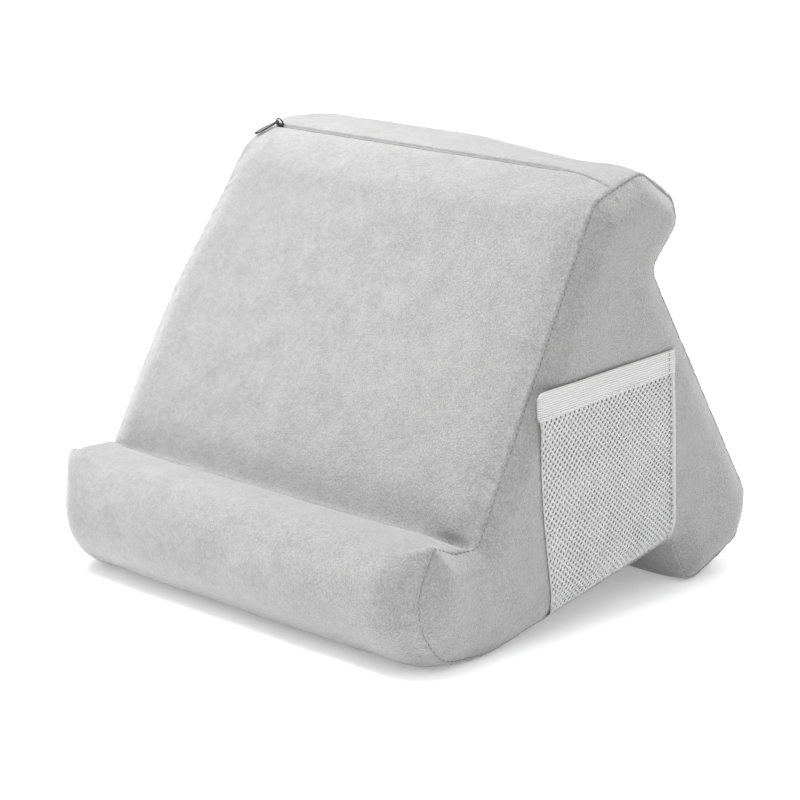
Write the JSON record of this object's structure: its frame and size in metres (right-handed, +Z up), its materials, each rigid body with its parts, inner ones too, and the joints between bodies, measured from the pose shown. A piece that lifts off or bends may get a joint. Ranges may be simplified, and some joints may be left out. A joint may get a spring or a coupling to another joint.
{
  "type": "tablet stand",
  "caption": "Soft pillow tablet stand: a foam block in a zipped light-grey plush cover, with a sloping face, a front lip and a mesh side pocket.",
  "frame": {"origin": "middle of the box, on the surface that the lip and the rear foot stand on", "axes": "+Z up, -Y to the front lip and the user, +X to the user's right, where the pocket is"},
  "size_m": [0.277, 0.2832, 0.2423],
  "materials": {
    "plush": "matte",
    "foam": "matte",
    "mesh": "matte",
    "elastic": "matte",
    "binding": "matte",
    "thread": "matte",
    "zip_tape": "matte",
    "zip_coil": "satin",
    "zip_metal": "satin"
  },
  "bodies": {
    "cushion": {"foam_core": "foam", "face_panel": "plush", "lip_panel": "plush", "base_panel": "plush", "back_panel": "plush", "left_side_panel": "plush", "right_side_panel": "plush", "pocket_mesh": "mesh", "pocket_elastic_band": "elastic", "pocket_rear_binding": "binding", "pocket_rear_stitching": "thread", "pocket_band_stitching": "thread", "pocket_front_stitching": "thread", "left_side_seam_thread": "thread", "right_side_seam_thread": "thread", "valley_seam_thread": "thread", "base_front_seam_thread": "thread", "base_rear_seam_thread": "thread", "top_left_seam_thread": "thread", "top_right_seam_thread": "thread", "zip_tape_front": "zip_tape", "zip_tape_rear": "zip_tape", "zip_coil_front": "zip_coil", "zip_coil_rear": "zip_coil", "zip_end_stop": "zip_metal", "zip_start_stop": "zip_metal"},
    "zip_slider": {"zip_slider": "zip_metal"},
    "pull_tab": {"zip_pull_tab": "zip_metal"}
  },
  "joints": [
    {"name": "zip_travel", "type": "slide", "parent": "cushion", "child": "zip_slider", "axis": [1, 0, 0], "range_m": [0, 0.207]},
    {"name": "pull_tab_flip", "type": "hinge", "parent": "zip_slider", "child": "pull_tab", "pos_m": [-0.12055, 0.01631, 0.2395], "axis": [0, 0.9336, 0.3584], "range_deg": [0, 180]}
  ]
}
